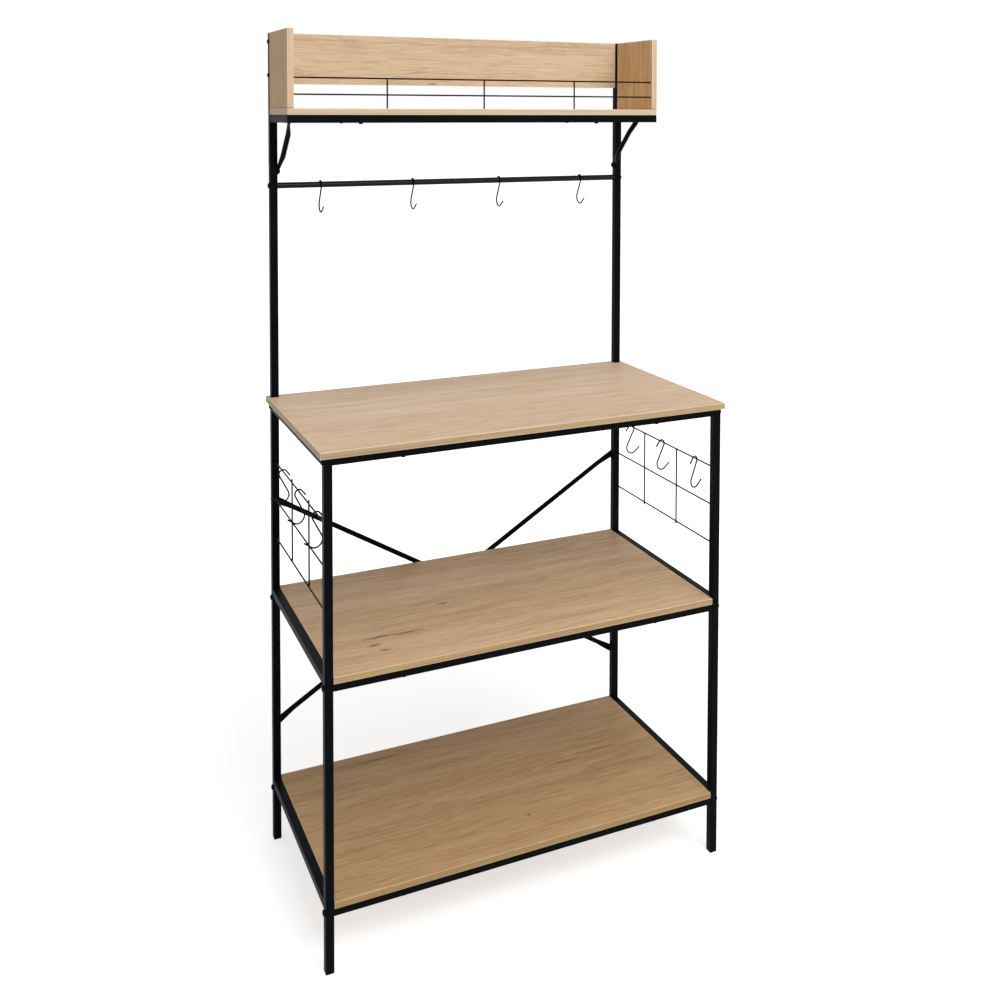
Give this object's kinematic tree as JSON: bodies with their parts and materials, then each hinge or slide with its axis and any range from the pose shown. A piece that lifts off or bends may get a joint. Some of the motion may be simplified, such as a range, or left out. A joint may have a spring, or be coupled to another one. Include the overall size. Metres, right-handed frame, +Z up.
{
  "type": "kitchen shelf unit",
  "caption": "Free-standing kitchen rack: a black square-tube frame with wood boards, a raised tray, a hanging rod and side grids with wire hooks, and a crossed brace behind.",
  "frame": {"origin": "on the floor, under the middle of the rack's bounding box", "axes": "+Z up, +X to the right seen from the front, +Y from front to back"},
  "size_m": [0.8178, 0.421, 1.607],
  "materials": {
    "black_steel": "fine-textured black powder coat on square and round tube",
    "black_wire": "black powder coat on thin round wire",
    "hook_wire": "black coating on bent wire, slightly glossier than the frame",
    "oak_board": "matt light-oak laminate with fine straight grain",
    "black_fastener": "black-finished bolts and screws with a low sheen",
    "zinc_insert": "plain zinc-plated steel, hidden inside the tubes",
    "black_plastic": "matt black moulded plastic",
    "beech_dowel": "plain turned beech"
  },
  "bodies": {
    "frame": {"front_left_post": "black_steel", "front_right_post": "black_steel", "rear_left_post": "black_steel", "rear_right_post": "black_steel", "upper_left_post": "black_steel", "upper_right_post": "black_steel", "worktop_left_rail": "black_steel", "worktop_right_rail": "black_steel", "worktop_front_rail": "black_steel", "worktop_rear_rail": "black_steel", "mid_left_rail": "black_steel", "mid_right_rail": "black_steel", "mid_front_rail": "black_steel", "mid_rear_rail": "black_steel", "bottom_left_rail": "black_steel", "bottom_right_rail": "black_steel", "bottom_front_rail": "black_steel", "bottom_rear_rail": "black_steel", "tray_front_rail": "black_steel", "tray_rear_rail": "black_steel", "tray_left_rail": "black_steel", "tray_right_rail": "black_steel", "hanging_rod": "black_steel", "cross_brace_inner": "black_steel", "cross_brace_outer": "black_steel", "tray_brace_left": "black_steel", "tray_brace_right": "black_steel", "left_wire_grid": "black_wire", "right_wire_grid": "black_wire", "gallery_rail": "black_wire", "worktop": "oak_board", "mid_shelf": "oak_board", "bottom_shelf": "oak_board", "tray_board": "oak_board", "tray_left_panel": "oak_board", "tray_right_panel": "oak_board", "back_panel": "oak_board", "frame_bolts": "black_fastener", "brace_bolts": "black_fastener", "brace_nut": "black_fastener", "shelf_screws": "black_fastener", "back_panel_screws": "black_fastener", "rail_inserts": "zinc_insert", "rod_inserts": "zinc_insert", "upper_post_plugs": "zinc_insert", "post_feet": "black_plastic", "tube_caps": "black_plastic", "panel_dowels": "beech_dowel"},
    "rod_hook_1": {"rod_hook_1": "hook_wire"},
    "rod_hook_2": {"rod_hook_2": "hook_wire"},
    "rod_hook_3": {"rod_hook_3": "hook_wire"},
    "rod_hook_4": {"rod_hook_4": "hook_wire"},
    "left_hook_1": {"left_hook_1": "hook_wire"},
    "left_hook_2": {"left_hook_2": "hook_wire"},
    "left_hook_3": {"left_hook_3": "hook_wire"},
    "right_hook_1": {"right_hook_1": "hook_wire"},
    "right_hook_2": {"right_hook_2": "hook_wire"},
    "right_hook_3": {"right_hook_3": "hook_wire"}
  },
  "joints": [
    {"name": "rod_hook_1_swing", "type": "hinge", "parent": "frame", "child": "rod_hook_1", "pos_m": [-0.291, 0.193, 1.309], "axis": [1, 0, 0], "range_deg": [-60, 60]},
    {"name": "rod_hook_2_swing", "type": "hinge", "parent": "frame", "child": "rod_hook_2", "pos_m": [-0.097, 0.193, 1.309], "axis": [1, 0, 0], "range_deg": [-60, 60]},
    {"name": "rod_hook_3_swing", "type": "hinge", "parent": "frame", "child": "rod_hook_3", "pos_m": [0.097, 0.193, 1.309], "axis": [1, 0, 0], "range_deg": [-60, 60]},
    {"name": "rod_hook_4_swing", "type": "hinge", "parent": "frame", "child": "rod_hook_4", "pos_m": [0.291, 0.193, 1.309], "axis": [1, 0, 0], "range_deg": [-60, 60]},
    {"name": "left_hook_1_swing", "type": "hinge", "parent": "frame", "child": "left_hook_1", "pos_m": [-0.3855, 0.122, 0.763], "axis": [0, 1, 0], "range_deg": [-60, 60]},
    {"name": "left_hook_2_swing", "type": "hinge", "parent": "frame", "child": "left_hook_2", "pos_m": [-0.3855, -0.003, 0.763], "axis": [0, 1, 0], "range_deg": [-60, 60]},
    {"name": "left_hook_3_swing", "type": "hinge", "parent": "frame", "child": "left_hook_3", "pos_m": [-0.3855, -0.128, 0.763], "axis": [0, 1, 0], "range_deg": [-60, 60]},
    {"name": "right_hook_1_swing", "type": "hinge", "parent": "frame", "child": "right_hook_1", "pos_m": [0.3855, 0.122, 0.763], "axis": [0, 1, 0], "range_deg": [-60, 60]},
    {"name": "right_hook_2_swing", "type": "hinge", "parent": "frame", "child": "right_hook_2", "pos_m": [0.3855, -0.003, 0.763], "axis": [0, 1, 0], "range_deg": [-60, 60]},
    {"name": "right_hook_3_swing", "type": "hinge", "parent": "frame", "child": "right_hook_3", "pos_m": [0.3855, -0.128, 0.763], "axis": [0, 1, 0], "range_deg": [-60, 60]}
  ]
}
